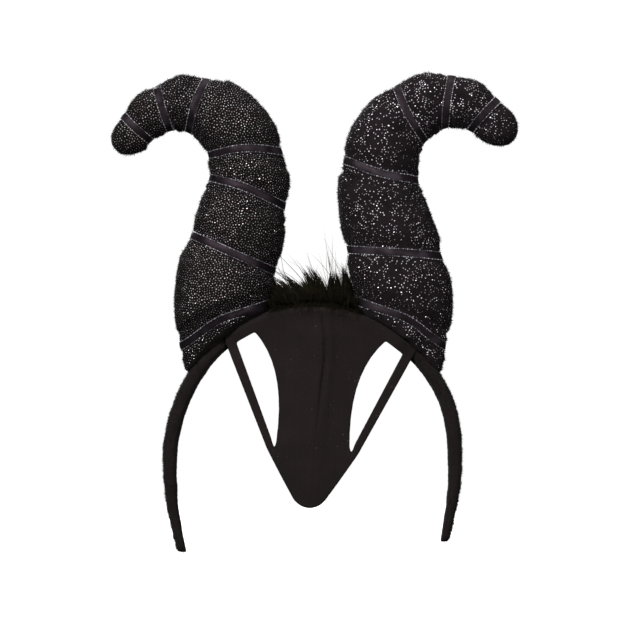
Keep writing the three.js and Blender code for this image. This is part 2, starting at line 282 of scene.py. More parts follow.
def pile_lengths(roots, look, draw):
    """How long the pile grows at each root, much the same within a clump."""
    grown = clumped(roots, look["clump"], draw) ** look["power"]
    return (look["shortest"] + look["growth"] * grown) * draw.uniform(*PILE_UNEVEN, len(roots))


def make_pile(name, roots, outward, aim, lengths, draw):
    """Short pile: a three-sided spike from a little under each root."""
    roots = roots - outward * PILE_ROOT_DEPTH
    foot = roots[:, None] + ring_round(*cross_frame(aim, draw), 3) * PILE_THICKNESS / 2
    tip = (roots + aim * lengths[:, None])[:, None]
    points = np.concatenate([foot, tip], 1).reshape(-1, 3)
    faces = [[0, 1, 3], [1, 2, 3], [2, 0, 3], [2, 1, 0]]
    return joined(name, points, copies(faces, len(roots), 4), False)


def make_glitter(name, places, aim, widths, draw):
    """Glitter: a low four-sided point at each place."""
    rim = places[:, None] + ring_round(*cross_frame(aim, draw), 4) * widths[:, None, None] / 2
    peak = (places + aim * widths[:, None] * FLAKE_PEAK)[:, None]
    points = np.concatenate([rim, peak], 1).reshape(-1, 3)
    faces = [[0, 1, 4], [1, 2, 4], [2, 3, 4], [3, 0, 4], [2, 1, 0], [3, 2, 0]]
    return joined(name, points, copies(faces, len(places), 5), False)


def make_strands(name, paths, thickness, draw):
    """Tapered three-sided strands; paths is strands x steps x 3 and each ends in a point."""
    count, steps, _ = paths.shape
    aim = unit(np.gradient(paths, axis=1))
    side = unit(np.cross(aim, draw.normal(size=(count, 1, 3))))
    ring = ring_round(side[:, :-1], np.cross(aim, side)[:, :-1], 3)
    body = paths[:, :-1, None] + ring * thickness[:, :-1, None, None] / 2
    points = np.concatenate([body.reshape(count, -1, 3), paths[:, -1:]], 1).reshape(-1, 3)
    faces = [[2, 1, 0]]
    for step in range(steps - 2):
        low, high = 3 * step, 3 * step + 3
        for k in range(3):
            n = (k + 1) % 3
            faces += [[low + k, low + n, high + n], [low + k, high + n, high + k]]
    last = 3 * (steps - 2)
    faces += [[last + k, last + (k + 1) % 3, last + 3] for k in range(3)]
    return joined(name, points, copies(faces, count, 3 * (steps - 1) + 1), True)


def make_stitches(name, places, along, outward, length, thickness):
    """Thread stitches: a small long bead at each place, lying along the seam."""
    across = np.cross(along, outward)
    length, thickness = np.reshape(length, (-1, 1)), np.reshape(thickness, (-1, 1))
    points = [places - along * length / 2]
    for share in (-STITCH_SHOULDER, STITCH_SHOULDER):
        points += [
            places + along * length * share + way * thickness / 2
            for way in (across, outward, -across, -outward)
        ]
    points.append(places + along * length / 2)
    faces = []
    for k in range(4):
        n = (k + 1) % 4
        faces += [[0, 1 + k, 1 + n], [5 + k, 5 + n, 1 + n], [5 + k, 1 + n, 1 + k], [5 + n, 5 + k, 9]]
    return joined(name, np.stack(points, 1).reshape(-1, 3), copies(faces, len(places), 10), True)


def thread_along(edges, pitch):
    """Places, directions and outward directions of stitches, a pitch apart, along some edges."""
    places, along, outward = [], [], []
    for line, normal in edges:
        run = run_of(line)
        at = np.arange(pitch / 2, run[-1], pitch)
        spots, out = along_line(at, run, line), along_line(at, run, normal)
        ahead = unit(np.gradient(spots, axis=0))
        places.append(spots)
        along.append(ahead)
        outward.append(unit(out - ahead * (out * ahead).sum(1, keepdims=True)))
    return np.concatenate(places), np.concatenate(along), np.concatenate(outward)


# Materials


class Level:
    """A shader socket that takes plain arithmetic."""

    def __init__(self, finish, socket):
        self.finish, self.socket = finish, socket

    def _maths(self, operation, first, second):
        return self.finish.node("ShaderNodeMath", {"operation": operation}, {0: first, 1: second})

    def __add__(self, other):
        return self._maths("ADD", self, other)

    def __radd__(self, other):
        return self._maths("ADD", other, self)

    def __sub__(self, other):
        return self._maths("SUBTRACT", self, other)

    def __rsub__(self, other):
        return self._maths("SUBTRACT", other, self)

    def __mul__(self, other):
        return self._maths("MULTIPLY", self, other)

    def __rmul__(self, other):
        return self._maths("MULTIPLY", other, self)


class Finish:
    """One material of the headband."""

    def __init__(self, name, **constants):
        self.material = bpy.data.materials.new(name)
        self.material.use_nodes = True
        self.tree = self.material.node_tree
        self.shader = self.tree.nodes["Principled BSDF"]
        self.set(**constants)
        self.place = self.node("ShaderNodeTexCoord", out="Object")

    def node(self, kind, settings=None, sockets=None, out=0):
        """Adds a node of any kind: its settings first, then the values or links of its sockets."""
        made = self.tree.nodes.new(kind)
        for key, value in (settings or {}).items():
            if key == "stops":
                while len(made.color_ramp.elements) < len(value):
                    made.color_ramp.elements.new(0.5)
                for element, (position, colour) in zip(made.color_ramp.elements, value):
                    element.position, element.color = position, (*colour, 1)
            else:
                setattr(made, key, value)
        for key, value in (sockets or {}).items():
            self.feed(made.inputs[key], value)
        return Level(self, made.outputs[out])

    def feed(self, socket, value):
        """Links a level to a socket, or sets the socket to a plain value."""
        if isinstance(value, Level):
            self.tree.links.new(value.socket, socket)
        else:
            socket.default_value = value

    def set(self, **values):
        """Feeds the shader's sockets, with _ for each space in their names."""
        for socket, value in values.items():
            self.feed(self.shader.inputs[socket.replace("_", " ")], value)

    def noise(self, size, detail=2):
        """Soft random patches of about this size, from 0 to 1."""
        return self.node(
            "ShaderNodeTexNoise", None,
            {"Vector": self.place, "Scale": 1 / size, "Detail": detail, "Roughness": 0.55},
        )

    def ramp(self, level, *stops):
        return self.node("ShaderNodeValToRGB", {"stops": stops}, {"Fac": level})

    def mix(self, level, first, second):
        """The first colour where the level is 0, and the second where it is 1."""
        return self.node("ShaderNodeMix", {"data_type": "RGBA"}, {0: level, 6: first, 7: second}, out=2)

    def between(self, level, low, high):
        """The level, stretched so that low becomes 0 and high becomes 1."""
        return self.node("ShaderNodeMapRange", None, {"Value": level, "From Min": low, "From Max": high})

    def bump(self, height, depth, strength):
        return self.node("ShaderNodeBump", None, {"Height": height, "Distance": depth, "Strength": strength})


def velour_finish(name, dark, light, sheen=0.02):
    """Short matt pile cloth, with a faint cloudy nap."""
    finish = Finish(name, Specular_IOR_Level=0.08, Sheen_Weight=sheen, Sheen_Roughness=0.6)
    nap, tufts = finish.noise(9 * MM), finish.noise(0.7 * MM)
    finish.set(
        Base_Color=finish.ramp(nap * 0.6 + tufts * 0.4, (0.3, dark), (0.72, light)),
        Roughness=0.82 + tufts * 0.16,
        Normal=finish.bump(tufts, 0.5 * MM, 0.6),
    )
    return finish


def glitter_finish(name, rough, dark, light):
    """Metal flakes, some of them dull."""
    finish = Finish(name, Metallic=0.9, Specular_Tint=(0.25, 0.24, 0.25, 1))
    shine = finish.noise(1.3 * MM, detail=0)
    finish.set(
        Base_Color=finish.ramp(shine, (0.36, dark), (0.66, light)),
        Roughness=rough - shine * 0.15,
    )
    return finish


def satin_finish(name, dark, light, bright):
    """Thin satin ribbon: fine threads across it, a painted sheen that comes and goes in its colour, and pale
    selvedges.
    """
    finish = Finish(name, Specular_IOR_Level=0.13, Specular_Tint=(0.98, 0.74, 0.93, 1))
    pale = (0.075, 0.069, 0.086, 1)
    cloud = finish.noise(5 * MM)
    over = finish.node("ShaderNodeTexCoord", out="UV")
    threads = finish.node(
        "ShaderNodeTexWave", {"bands_direction": "X"}, {"Vector": over, "Scale": 110, "Distortion": 0.6}
    )
    across = finish.node("ShaderNodeSeparateXYZ", None, {"Vector": over}, out="Y")
    from_middle = finish.node("ShaderNodeMath", {"operation": "ABSOLUTE"}, {0: across - 0.5})
    selvedge = finish.between(from_middle, 0.42, 0.47) * finish.between(finish.noise(1.2 * MM), 0.3, 0.6)
    weave = finish.ramp(cloud * 0.8 + threads * 0.2, (0.3, dark), (0.7, light))
    # Painted sheen: lighter purple-grey patches in the base colour stand in for the satin catching the light.
    painted_sheen = finish.between(finish.noise(6 * MM, detail=0), 0.5, 0.75)
    finish.set(
        Base_Color=finish.mix(selvedge, finish.mix(painted_sheen, weave, (*bright, 1)), pale),
        Roughness=0.32 + cloud * 0.2,
        Normal=finish.bump(threads, 0.05 * MM, 0.3),
    )
    return finish


def thread_finish(name, metallic, dark, light):
    """Spun thread, worn here and there; on the silver thread the lighter patches are partly painted glints.
    """
    finish = Finish(name, Metallic=metallic)
    # Partly wear and partly painted glints: lighter patches stand in for where the thread catches the light.
    wear_and_glints = finish.noise(8 * MM) * 0.55 + finish.noise(1.6 * MM) * 0.45
    finish.set(
        Base_Color=finish.ramp(wear_and_glints, (0.42, dark), (0.62, light)),
        Roughness=0.5 - wear_and_glints * 0.15,
    )
    return finish


def panel_finish():
    """Smooth matt laminate cloth with a fine knit face and a little lint."""
    finish = Finish("panel_cloth", Specular_IOR_Level=0.12, Sheen_Weight=0.03, Sheen_Roughness=0.5)
    dark, light = (0.007, 0.0049, 0.0046), (0.017, 0.0121, 0.0114)
    pale = (0.08, 0.074, 0.07, 1)
    rows = 2.2 * MM
    knit = finish.node(
        "ShaderNodeTexWave", {"wave_profile": "SIN"},
        {"Vector": finish.place, "Scale": 1 / rows, "Distortion": 2.5, "Detail": 2.0, "Detail Scale": 2.0},
    )
    cloud, grain = finish.noise(16 * MM), finish.noise(0.8 * MM)
    cloth = finish.ramp(cloud * 0.4 + grain * 0.4 + knit * 0.2, (0.3, dark), (0.7, light))
    lint = finish.between(finish.noise(0.7 * MM, detail=0), 0.78, 0.85)
    patch = finish.between(finish.noise(13 * MM, detail=0), 0.52, 0.62)
    finish.set(
        Base_Color=finish.mix(lint * patch, cloth, pale),
        Roughness=0.78 + grain * 0.18,
        Normal=finish.bump(knit * 0.4 + grain * 0.6, 0.12 * MM, 0.5),
    )
    return finish


def feather_finish():
    finish = Finish("black_feather", Specular_IOR_Level=0.1)
    # The lighter colour is partly the feathers' own brown and partly painted sheen, for glints along the
    # strands.
    dark, light = (0.0032, 0.0025, 0.0008), (0.017, 0.0128, 0.0055)
    cloud = finish.noise(2.5 * MM)
    finish.set(
        Base_Color=finish.ramp(cloud, (0.3, dark), (0.72, light)),
        Roughness=0.6 + cloud * 0.25,
    )
    return finish


# The ribbons: satin bands laid round the horns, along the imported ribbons

RIBBON_WIDTH = 4.2 * MM
RIBBON_THICKNESS = 0.35 * MM
RIBBON_STEPS = (100, 6)
RIBBON_LIFT = 0.3 * MM
RIBBON_CROWN = 0.3 * MM
# The ends overlap by this angle in radians, and the upper one climbs on to the lower one
RIBBON_OVERLAP = 0.45
CLIMB_FROM, CLIMB_TO = TURN - 0.12, TURN + 0.05
CLIMB = 0.42 * MM
# Ripples along a ribbon: height and number in a turn
LONG_RIPPLE, SHORT_RIPPLE = (0.07 * MM, 5), (0.05 * MM, 11)
# Where the band's edge and the edge thread lie, as shares of half the width
BAND_SHARE, EDGE_SHARE = 0.98, 0.88
# The edge thread's height over the skin, and its run as shares of the strip's length
EDGE_LIFT = 0.58 * MM
EDGE_RUN = np.linspace(0.004, 0.996, 170)
# Four places on a triangle, as shares of its first two corners
PLACES_ON_FACE = ((1 / 3, 1 / 3), (0.6, 0.2), (0.2, 0.6), (0.2, 0.2))


def ribbon_waves(turn):
    """A level and the first three waves of a whole turn."""
    return np.stack([np.ones_like(turn)] + [f(k * turn) for k in (1, 2, 3) for f in (np.cos, np.sin)], -1)


def ribbon_way(solid):
    """The middle line of a packed ribbon: its centre, three axes and its rise along the axle at each turn."""
    corners = points_of(solid)[triangles_of(solid)]
    spots = np.concatenate([
        corners[:, 0] * a + corners[:, 1] * b + corners[:, 2] * (1 - a - b) for a, b in PLACES_ON_FACE
    ])
    centre = (spots.min(0) + spots.max(0)) / 2
    axes = np.linalg.eigh(np.cov((spots - centre).T))[1]
    axle, first = axes[:, 0], axes[:, 2]
    second = np.cross(axle, first)
    turn = np.arctan2((spots - centre) @ second, (spots - centre) @ first)
    rise = np.linalg.lstsq(ribbon_waves(turn), (spots - centre) @ axle, rcond=None)[0]
    return centre, axle, first, second, rise


def lay_ribbon(name, way, skin, draw):
    """One satin band on a horn's skin, with its two edges' places for the thread."""
    centre, axle, first, second, rise = way
    # The strip starts and ends at the back of the horn, where its ends overlap
    back = math.atan2(second[1], first[1]) - RIBBON_OVERLAP / 2
    whole = TURN + RIBBON_OVERLAP

    def on_skin(turn, across, lift):
        """A place over the skin and the outward direction there, across from -1 to 1."""
        out = math.cos(turn) * first + math.sin(turn) * second
        level = float(ribbon_waves(np.array([turn]))[0] @ rise) + across * RIBBON_WIDTH / 2
        hit, normal, _, _ = skin.ray_cast(Vector(centre + axle * level), Vector(out))
        if hit is None:
            raise RuntimeError(f"{name} misses the horn")
        normal = np.array(normal)
        normal = normal if normal @ out > 0 else -normal
        return np.array(hit) + normal * lift, normal

    def climb_at(part):
        return CLIMB * smooth_step(part * whole, CLIMB_FROM, CLIMB_TO)

    def ripple_at(turn, ripple, phase):
        height, number = ripple
        return height * math.sin(number * turn + phase)

    bpy.ops.object.select_all(action="DESELECT")
    bpy.ops.mesh.primitive_grid_add(x_subdivisions=RIBBON_STEPS[0], y_subdivisions=RIBBON_STEPS[1], size=2)
    band = bpy.context.object
    band.name = band.data.name = name
    long_phase, short_phase, _ = draw.uniform(0, ANY_PHASE, 3)
    laid = []
    for x, y, _ in points_of(band):
        part = (x + 1) / 2
        turn = back + part * whole
        ripple = ripple_at(turn, LONG_RIPPLE, long_phase) + ripple_at(turn, SHORT_RIPPLE, short_phase)
        lift = RIBBON_LIFT + RIBBON_CROWN * (1 - y * y) + ripple + climb_at(part)
        laid.append(on_skin(turn, y * BAND_SHARE, lift)[0])
    move_points(band, np.array(laid))
    apply(band, "SOLIDIFY", thickness=RIBBON_THICKNESS, offset=-1)
    shade_smooth(band)
    edges = []
    for across in (-EDGE_SHARE, EDGE_SHARE):
        spots = [on_skin(back + part * whole, across, EDGE_LIFT + climb_at(part)) for part in EDGE_RUN]
        edges.append((np.array([place for place, _ in spots]), np.array([normal for _, normal in spots])))
    return band, edges


# The horns: stuffed velour bags, pinched by the ribbons

BAG_STEP = 2 * MM
# The foot is rounded off up to one height, and pressed into the plush up to another
FOOT_ROUNDED = 5 * MM
FOOT_PRESSED = 6 * MM
FOOT_PRESS = 1.9 * MM
# The cloth is held beside ribbons and seat, and free from the second distance on
HELD_NEAR, HELD_FAR = 1 * MM, 5 * MM
STUFFING_ROOM = 0.8 * MM
STUFFING_PRESSURE = 1500.0
STUFFING_REACH = 2.4 * MM
STUFFING_STEPS = 20
SPARE_CLOTH = 0.055
# Gathers beside the ribbons, lumps of the stuffing and the ribbons' pinch, with sizes in millimetres
GATHER_SIZES = (5.5, 6.5, 7.5, 9, 11, 13)
GATHER_HEIGHT = 0.75 * MM
GATHER_OFF, GATHER_WIDTH = 2.5 * MM, 2.6 * MM
LUMP_SIZES = (19, 23, 29, 33)
LUMP_HEIGHT = 0.4 * MM
PINCH_DEPTH, PINCH_WIDTH = 0.8 * MM, 2.4 * MM
SHAPED_NEAR, SHAPED_FAR = 2 * MM, 7 * MM
# The back seam, which runs past the first and last ribbon by shares of the way between two
SEAM_PAST_FOOT, SEAM_PAST_TIP = 0.5, 0.45
SEAM_STEP = 0.8 * MM
SEAM_DEPTH, SEAM_WIDTH = 0.9 * MM, 1.3 * MM
SEAM_PITCH = 2.8 * MM
SEAM_STITCH, SEAM_THREAD = 1.9 * MM, 0.5 * MM
SEAM_OFF_RIBBON = 1 * MM
# The silver edge of the ribbons, with a knot at every second stitch
EDGE_PITCH = 1.05 * MM
EDGE_SLACK = 0.1 * MM
EDGE_KEPT = 0.95
EDGE_OFF_SEAT = 1.2 * MM
KNOT_LENGTH, KNOT_THICKNESS = 0.78 * MM, 0.5 * MM
THREAD_LENGTH, THREAD_THICKNESS = 0.7 * MM, 0.2 * MM
# How far glitter and pile keep from the ribbons, the seat and the seam
OFF_RIBBON, OFF_SEAT, OFF_SEAM = 0.4 * MM, 0.5 * MM, 0.7 * MM
# Glitter: how it is evened out, its patches with sizes in millimetres, and few wide flakes among narrow ones
EVENED_APART = 1.3
PATCH_SIZES = (9, 11, 14, 17)
PATCH_LEAST, PATCH_MOST = 0.2, 2
WIDE_IS_RARE = 2.5
FLAKE_LIFT = 0.34 * MM
HORN_PILE = {"count": 37000, "clump": 1.5 * MM, "shortest": 0.55 * MM, "growth": 1.1 * MM, "power": 3,
             "stray": 0.42}
HORN_PILE_DROOP = np.array([0, 0, -0.25])


def seat_foot(bag):
    """Rounds off the foot's edge, presses it into the plush and gives the bag's points."""
    foot = bag.vertex_groups.new(name="foot")
    for index, above in enumerate(above_hoop(points_of(bag))):
        if above < FOOT_ROUNDED:
            foot.add([index], float(1 - above / FOOT_ROUNDED), "REPLACE")
    apply(bag, "SMOOTH", factor=0.5, iterations=14, vertex_group="foot")
    bag.vertex_groups.clear()
    points = points_of(bag)
    inward = unit((ARCH_CENTRE - points) * (1, 0, 1))
    points += inward * ((1 - smooth_step(above_hoop(points), 0, FOOT_PRESSED)) * FOOT_PRESS)[:, None]
    move_points(bag, points)
    return points


def stuff(bag, held):
    """Blows a bag up with stuffing. Held points stay, and none moves further than the stuffing's reach."""
    scene = bpy.context.scene
    group = bag.vertex_groups.new(name="held")
    for index, weight in enumerate(held):
        if weight > 0.01:
            group.add([index], float(weight), "REPLACE")
    rest = points_of(bag)
    pick(bag)
    cloth = bag.modifiers.new("Stuffing", "CLOTH")
    cloth.settings.quality = 5
    cloth.settings.mass = 0.005
    cloth.settings.bending_stiffness = 0.03
    cloth.settings.shrink_min = cloth.settings.shrink_max = -SPARE_CLOTH
    cloth.settings.use_pressure = True
    cloth.settings.uniform_pressure_force = STUFFING_PRESSURE
    cloth.settings.vertex_group_mass = group.name
    cloth.settings.effector_weights.gravity = 0
    cloth.collision_settings.use_collision = False
    cloth.point_cache.frame_start, cloth.point_cache.frame_end = 1, STUFFING_STEPS
    for step in range(1, STUFFING_STEPS + 1):
        scene.frame_set(step)
    bpy.ops.object.modifier_apply(modifier=cloth.name)
    scene.frame_set(1)
    moved = points_of(bag) - rest
    far = np.linalg.norm(moved, axis=1, keepdims=True)
    move_points(bag, rest + moved * np.minimum(1, STUFFING_REACH / np.maximum(far, TINY)))
    bag.vertex_groups.clear()


class Horn:
    """One horn: a stuffed velour bag with its ribbons, threads, glitter and pile."""

    def __init__(self, side, ribbons, slot, velour, shape_seed, dress_seed):
        self.side, self.slot, self.velour = side, slot, velour
        self.packed_ribbons = [SOLIDS[f"ribbon_{side}_{n}"] for n in range(1, ribbons + 1)]
        self.ways = [ribbon_way(solid) for solid in self.packed_ribbons]
        self.bag = copy_solid(f"horn_{side}", f"stuffed_horn_{side}")
        self.shape_bag(np.random.default_rng(shape_seed))
        self.seam = self.sink_seam()
        shade_smooth(self.bag)
        self.skin = skin_tree(self.bag)
        self.draw = np.random.default_rng(dress_seed)
        hand_over(self.bag, velour, slot, f"horn_{side}")

    def shape_bag(self, draw):
        """Seats the bag on the hoop, stuffs it and lets the ribbons pinch it."""
        bag, ribbons = self.bag, [skin_tree(solid) for solid in self.packed_ribbons]
        apply(bag, "REMESH", mode="VOXEL", voxel_size=BAG_STEP)
        apply(bag, "SMOOTH", factor=0.5, iterations=3)
        points = seat_foot(bag)
        nearest = np.minimum(distance_to(ribbons, points), above_hoop(points))
        held = 1 - smooth_step(nearest, HELD_NEAR, HELD_FAR)
        move_points(bag, points - normals_of(bag) * ((1 - held) * STUFFING_ROOM)[:, None])
        stuff(bag, held)
        apply(bag, "SUBSURF", levels=1, render_levels=1)
        # Each ribbon sinks in, with gathers beside it where it draws the cloth in
        points, normals = points_of(bag), normals_of(bag)
        from_ribbon = distance_to(ribbons, points)
        gather = swells(points, GATHER_SIZES, draw) * bell(from_ribbon - GATHER_OFF, GATHER_WIDTH)
        lumps = swells(points, LUMP_SIZES, draw)
        pinch = bell(from_ribbon, PINCH_WIDTH)
        raised = gather * GATHER_HEIGHT + lumps * LUMP_HEIGHT - pinch * PINCH_DEPTH
        raised *= smooth_step(above_hoop(points), SHAPED_NEAR, SHAPED_FAR)
        move_points(bag, points + normals * raised[:, None])

    def seam_line(self, skin):
        """The seam that closes the bag, down the middle of its back, with the outward directions."""
        centres = [way[0] for way in self.ways]
        foot = centres[0] * (1 + SEAM_PAST_FOOT) - centres[1] * SEAM_PAST_FOOT
        tip = centres[-1] * (1 + SEAM_PAST_TIP) - centres[-2] * SEAM_PAST_TIP
        middles = np.array([foot, *centres, tip])
        run = run_of(middles)
        starts = along_line(np.arange(0, run[-1], SEAM_STEP), run, middles)
        rays = [skin.ray_cast(Vector(start), Vector((0, 1, 0))) for start in starts]
        hits = [(hit, normal) for hit, normal, _, _ in rays if hit is not None]
        return np.array([hit for hit, _ in hits]), np.array([normal for _, normal in hits])

    def sink_seam(self):
        """Draws the back seam into the bag, and gives its places for finding the nearest one."""
        line, _ = self.seam_line(skin_tree(self.bag))
        seam = KDTree(len(line))
        for index, place in enumerate(line):
            seam.insert(place, index)
        seam.balance()
        points = points_of(self.bag)
        from_seam = np.array([seam.find(point)[2] for point in points])
        sunk = SEAM_DEPTH * bell(from_seam, SEAM_WIDTH)
        move_points(self.bag, points - normals_of(self.bag) * sunk[:, None])
        return seam

    def dress(self, satin, silver, black, glitter, **flakes):
        """Puts on all that the bag carries, from the ribbons to the pile."""
        self.lay_ribbons(satin)
        self.edge_ribbons(silver)
        self.sew_back(black)
        self.scatter_glitter(glitter, **flakes)
        self.grow_pile()

    def lay_ribbons(self, satin):
        self.bands, self.edges = [], []
        for number, way in enumerate(self.ways, 1):
            band, edges = lay_ribbon(f"satin_ribbon_{self.side}_{number}", way, self.skin, self.draw)
            hand_over(band, satin, "ribbon", f"ribbon_{self.side}_{number}")
            self.bands.append(skin_tree(band))
            self.edges += edges

    def edge_ribbons(self, silver):
        places, along, outward = thread_along(self.edges, EDGE_PITCH)
        places += along * self.draw.normal(0, EDGE_SLACK, (len(places), 1))
        clear = (above_hoop(places) > EDGE_OFF_SEAT) & (self.draw.random(len(places)) < EDGE_KEPT)
        knots = np.arange(len(places))[clear] % 2 == 0
        stitches = make_stitches(
            f"silver_edge_{self.side}", places[clear], along[clear], outward[clear],
            np.where(knots, KNOT_LENGTH, THREAD_LENGTH), np.where(knots, KNOT_THICKNESS, THREAD_THICKNESS),
        )
        hand_over(stitches, silver, "ribbon")

    def sew_back(self, black):
        places, along, outward = thread_along([self.seam_line(self.skin)], SEAM_PITCH)
        clear = distance_to(self.bands, places) > SEAM_OFF_RIBBON
        stitches = make_stitches(
            f"back_stitches_{self.side}", places[clear], along[clear], outward[clear],
            SEAM_STITCH, SEAM_THREAD,
        )
        hand_over(stitches, black, self.slot)

    def bare(self, places):
        """Which places are on open velour."""
        from_seam = np.array([self.seam.find(place)[2] for place in places])
        off_ribbons = distance_to(self.bands, places) > OFF_RIBBON
        return off_ribbons & (above_hoop(places) > OFF_SEAT) & (from_seam > OFF_SEAM)

    def scatter_glitter(self, glitter, tries, apart, rounds, kept, patchy, widths, tilt):
        """Flakes on the open velour, evened out over some rounds, of which a share is kept in patches."""
        draw = self.draw
        places, _ = spread(self.bag, tries, draw)
        places = places[kept_apart(places, apart)]
        places, outward = evened(places, apart * EVENED_APART, self.skin, rounds)
        share = kept * np.clip(1 + patchy * swells(places, PATCH_SIZES, draw), PATCH_LEAST, PATCH_MOST)
        chosen = self.bare(places) & (draw.random(len(places)) < share)
        places, outward = places[chosen], outward[chosen]
        low, high = widths
        wide = low + (high - low) * draw.random(len(places)) ** WIDE_IS_RARE
        aim = unit(outward + draw.normal(0, tilt, places.shape))
        flakes = make_glitter(f"glitter_{self.side}", places + outward * FLAKE_LIFT, aim, wide, draw)
        hand_over(flakes, glitter, self.slot)

    def grow_pile(self):
        draw = self.draw
        roots, outward = spread(self.bag, HORN_PILE["count"], draw)
        keep = self.bare(roots)
        roots, outward = roots[keep], outward[keep]
        aim = unit(outward + HORN_PILE_DROOP + draw.normal(0, HORN_PILE["stray"], outward.shape))
        lengths = pile_lengths(roots, HORN_PILE, draw)
        pile = make_pile(f"pile_{self.side}", roots, outward, aim, lengths, draw)
        hand_over(pile, self.velour, self.slot)


# The hoop: a springy band in a sleeve of short plush

HOOP_STEP = 1.1 * MM
HOOP_SWELL = 0.25 * MM
HOOP_SWELL_SIZES = (7, 9, 12, 16, 21)
# How far the hoop's two sides spring to the right: depth below the crown, left side, right side
HOOP_SPRING = np.array([
    (10, 0, 0), (20, 0.5, 0.4), (32, 1.2, 0.9), (45, 1.1, 0.6), (55, 0.8, 0.2), (64, 0.2, 0),
    (78, 0.1, 0.3), (88, 0.1, 0.2), (100, 1.0, -0.2), (110, 1.4, -0.3),
]) * MM
# The right leg is shorter, drawn up between two depths
RIGHT_LEG_SHORTER = 4.8 * MM
SHORTENED_FROM, SHORTENED_TO = 60 * MM, 110 * MM
# The legs' ends are cut off square, by widening them, with the sleeve drawn to a corner on the inside
END_DEPTH, END_RUN = 105.5 * MM, 4 * MM
END_WIDER, END_DEEPER = 0.55, 0.25
CORNER_WIDTH = 1.5 * MM
CORNER_IN, CORNER_DOWN = 0.7 * MM, 0.6 * MM
HOOP_PILE = {"count": 32000, "clump": 1.1 * MM, "shortest": 0.5 * MM, "growth": 0.8 * MM, "power": 2,
             "stray": 0.5}
HOOP_PILE_WORN = 0.7
# The seam on the inside, found up the left leg, over the arch by angles in radians, and down the right leg
LEG_HEIGHTS = np.arange(-102, -63.5, 1) * MM
ARCH_ANGLES = np.arange(-1.57, 1.58, 0.015)
HOOP_PITCH = 2.6 * MM
HOOP_STITCH, HOOP_THREAD = 1.7 * MM, 0.42 * MM
HOOP_STITCH_SUNK = 0.12 * MM


def spring_at(depth, column):
    """A side's spring at some depths, eased between the rows of the table."""
    steps = np.arange(0, 130) * MM
    ease = np.hanning(17)
    spring = np.pad(np.interp(steps, HOOP_SPRING[:, 0], HOOP_SPRING[:, column]), len(ease) // 2, "edge")
    return np.interp(depth, steps, np.convolve(spring, ease / ease.sum(), "valid"))


def plush_hoop(plush, black):
    draw = np.random.default_rng(31)
    hoop = copy_solid("headband", "plush_hoop")
    apply(hoop, "REMESH", mode="VOXEL", voxel_size=HOOP_STEP)
    apply(hoop, "SMOOTH", factor=0.5, iterations=2)
    points, normals = points_of(hoop), normals_of(hoop)
    points += normals * (swells(points, HOOP_SWELL_SIZES, draw) * HOOP_SWELL)[:, None]
    for side, column, shorter in ((-1, 1, 0), (1, 2, RIGHT_LEG_SHORTER)):
        depth = -points[:, 2]
        leg = points[:, 0] * side > 0
        end = np.clip((depth - END_DEPTH) / END_RUN, 0, 1) ** 2
        middle = points[leg & (end > 0)].mean(0)
        across, behind = points[:, 0] - middle[0], points[:, 1] - middle[1]
        drawn_up = shorter * smooth_step(depth, SHORTENED_FROM, SHORTENED_TO)
        corner = np.clip(-across * side / CORNER_WIDTH, 0, 1) * end
        shift = spring_at(depth, column)
        points[:, 0] += leg * (across * END_WIDER * end + shift - corner * side * CORNER_IN)
        points[:, 1] += leg * behind * END_DEEPER * end
        points[:, 2] += leg * (drawn_up - corner * CORNER_DOWN)
    move_points(hoop, points)
    shade_smooth(hoop)
    hand_over(hoop, plush, "plush", "headband")
    hand_over(hoop_pile(hoop, draw), plush, "plush")
    hand_over(hoop_stitches(skin_tree(hoop)), black, "plush")


def hoop_pile(hoop, draw):
    """The plush's pile, worn short on the inside of the hoop."""
    roots, outward = spread(hoop, HOOP_PILE["count"], draw)
    from_head = roots - ARCH_CENTRE
    from_head[:, 1] = 0
    from_head[:, 2] = np.maximum(from_head[:, 2], 0)
    inward = -(outward * unit(from_head)).sum(1)
    lengths = pile_lengths(roots, HOOP_PILE, draw) * (1 - HOOP_PILE_WORN * smooth_step(inward, 0.2, 0.8))
    aim = unit(outward + draw.normal(0, HOOP_PILE["stray"], outward.shape))
    return make_pile("pile_hoop", roots, outward, aim, lengths, draw)


def hoop_stitches(skin):
    """The seam that closes the plush sleeve, down the inside of the hoop."""
    heights = [Vector((0, 0, z)) for z in LEG_HEIGHTS]
    rays = [(start, Vector((-1, 0, 0))) for start in heights]
    rays += [(Vector(ARCH_CENTRE), Vector((math.sin(a), 0, math.cos(a)))) for a in ARCH_ANGLES]
    rays += [(start, Vector((1, 0, 0))) for start in reversed(heights)]
    hits = [skin.ray_cast(start, aim)[:2] for start, aim in rays]
    line = np.array([hit for hit, _ in hits]), np.array([normal for _, normal in hits])
    places, along, outward = thread_along([line], HOOP_PITCH)
    places = places - outward * HOOP_STITCH_SUNK
    return make_stitches("hoop_stitches", places, along, outward, HOOP_STITCH, HOOP_THREAD)


# The brow panel: one die-cut piece of laminate cloth with a pressed fold

PANEL_STEP = 0.52 * MM
PANEL_TILT = math.radians(4)
# The fold: height over the arch's centre, and how far it strays to the right. It fades out halfway down
FOLD_WAY = np.array([(-24, 0), (5, 1.4), (31, 2.1), (44, 2.8), (54, 2.3), (66, 0)]) * MM
FOLD_FADES_FROM, FOLD_FADES_TO = 38 * MM, 2 * MM
FOLD_TOP_FROM, FOLD_TOP_TO = 63 * MM, 67 * MM
FOLD_DEPTH, FOLD_WIDTH = 1.4 * MM, 0.55 * MM
RIDGE_HEIGHT, RIDGE_WIDTH, RIDGE_OFF = 0.6 * MM, 1.8 * MM, 2.8 * MM
RIDGE_LEAST = 0.25
# The windows between tongue and straps end in points at their feet
WINDOW_ASIDE, WINDOW_FOOT = 18 * MM, 4.2 * MM
POINT_DEPTH, POINT_WIDTH, POINT_RUN = 2.2 * MM, 0.9 * MM, 3 * MM
POINT_FADES_FROM, POINT_FADES_TO = 1 * MM, 4 * MM
